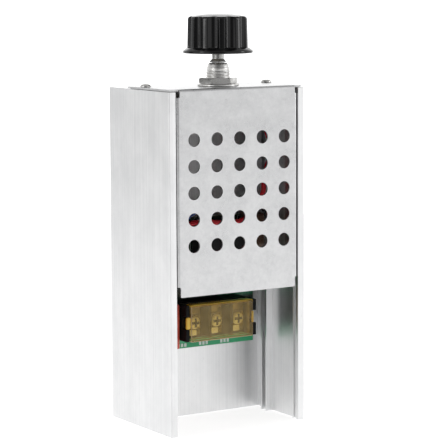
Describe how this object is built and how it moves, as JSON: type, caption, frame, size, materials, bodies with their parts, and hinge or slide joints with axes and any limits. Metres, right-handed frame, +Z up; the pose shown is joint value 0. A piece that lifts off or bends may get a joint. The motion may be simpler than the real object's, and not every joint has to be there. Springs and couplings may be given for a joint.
{
  "type": "variac autotransformer",
  "caption": "Upright phase-control AC voltage regulator: finned aluminium extrusion, vented bent cover, rotary control knob on top, shielded screw terminals in an open bay below.",
  "frame": {"origin": "middle of the housing's footprint, on the plane of its bottom end", "axes": "+Z up along the extrusion towards the knob, the open front and vented cover face -Y, +X to the right seen from the front"},
  "size_m": [0.08, 0.06, 0.2082],
  "materials": {
    "aluminium": "mill-finish extruded aluminium",
    "sheet": "satin bent aluminium sheet",
    "nickel": "nickel plated, slightly dull",
    "steel": "zinc plated spring steel",
    "brass": "plain brass",
    "bakelite": "glossy black phenolic",
    "phenolic": "brown phenolic laminate",
    "block_black": "black moulded nylon",
    "amber": "clear amber polycarbonate",
    "board": "green solder mask on glass-epoxy",
    "red_film": "brick red epoxy",
    "brown_film": "brown epoxy",
    "epoxy": "black moulded epoxy",
    "pad": "grey thermal pad",
    "diode_glass": "blue coated glass",
    "red_wire": "red PVC insulation",
    "black_wire": "black PVC insulation",
    "blue_wire": "blue PVC insulation"
  },
  "bodies": {
    "case": {"heatsink_housing": "aluminium", "front_cover": "sheet", "cover_screw_left": "nickel", "cover_screw_right": "nickel", "pot_bush": "nickel", "pot_washer": "nickel", "pot_nut": "nickel", "pot_wafer": "phenolic", "pot_lug_1": "brass", "pot_lug_2": "brass", "pot_lug_3": "brass", "pot_can": "nickel", "circuit_board": "board", "filter_capacitor": "red_film", "snubber_capacitor": "epoxy", "timing_capacitor": "brown_film", "snubber_resistor": "brown_film", "timing_resistor": "brown_film", "diac": "diode_glass", "triac": "epoxy", "triac_pad": "pad", "triac_screw": "nickel", "terminal_body": "block_black", "pot_wire_blue": "blue_wire", "pot_wire_red": "red_wire", "pot_wire_black": "black_wire", "board_standoff_1": "brass", "board_screw_1": "nickel", "terminal_lug_1": "brass", "board_standoff_2": "brass", "board_screw_2": "nickel", "terminal_lug_2": "brass", "board_standoff_3": "brass", "board_screw_3": "nickel", "terminal_lug_3": "brass"},
    "control": {"knob": "bakelite", "knob_insert": "brass", "knob_set_screw": "steel", "pot_shaft": "nickel", "pot_retaining_ring": "steel", "pot_wiper": "phenolic"},
    "shield": {"terminal_shield": "amber"},
    "clamp_1": {"terminal_clamp_1": "brass"},
    "screw_1": {"terminal_screw_1": "nickel"},
    "clamp_2": {"terminal_clamp_2": "brass"},
    "screw_2": {"terminal_screw_2": "nickel"},
    "clamp_3": {"terminal_clamp_3": "brass"},
    "screw_3": {"terminal_screw_3": "nickel"}
  },
  "joints": [
    {"name": "knob_turn", "type": "hinge", "parent": "case", "child": "control", "pos_m": [0, -0.0113, 0.19], "axis": [0, 0, 1], "range_deg": [-150, 150]},
    {"name": "shield_pull", "type": "slide", "parent": "case", "child": "shield", "axis": [0, -1, 0], "range_m": [0, 0.03]},
    {"name": "clamp_1_lift", "type": "slide", "parent": "case", "child": "clamp_1", "axis": [0, -1, 0], "range_m": [0, 0.0027]},
    {"name": "screw_1_turn", "type": "hinge", "parent": "clamp_1", "child": "screw_1", "pos_m": [-0.0126, -0.008, 0.0524], "axis": [0, -1, 0], "range_deg": [0, 1620]},
    {"name": "clamp_2_lift", "type": "slide", "parent": "case", "child": "clamp_2", "axis": [0, -1, 0], "range_m": [0, 0.0027]},
    {"name": "screw_2_turn", "type": "hinge", "parent": "clamp_2", "child": "screw_2", "pos_m": [0.0004, -0.008, 0.0524], "axis": [0, -1, 0], "range_deg": [0, 1620]},
    {"name": "clamp_3_lift", "type": "slide", "parent": "case", "child": "clamp_3", "axis": [0, -1, 0], "range_m": [0, 0.0027]},
    {"name": "screw_3_turn", "type": "hinge", "parent": "clamp_3", "child": "screw_3", "pos_m": [0.0134, -0.008, 0.0524], "axis": [0, -1, 0], "range_deg": [0, 1620]}
  ],
  "couplings": [
    {"joint": "screw_1_turn", "follows": "clamp_1_lift", "rad_per_m": 10472},
    {"joint": "screw_2_turn", "follows": "clamp_2_lift", "rad_per_m": 10472},
    {"joint": "screw_3_turn", "follows": "clamp_3_lift", "rad_per_m": 10472}
  ]
}
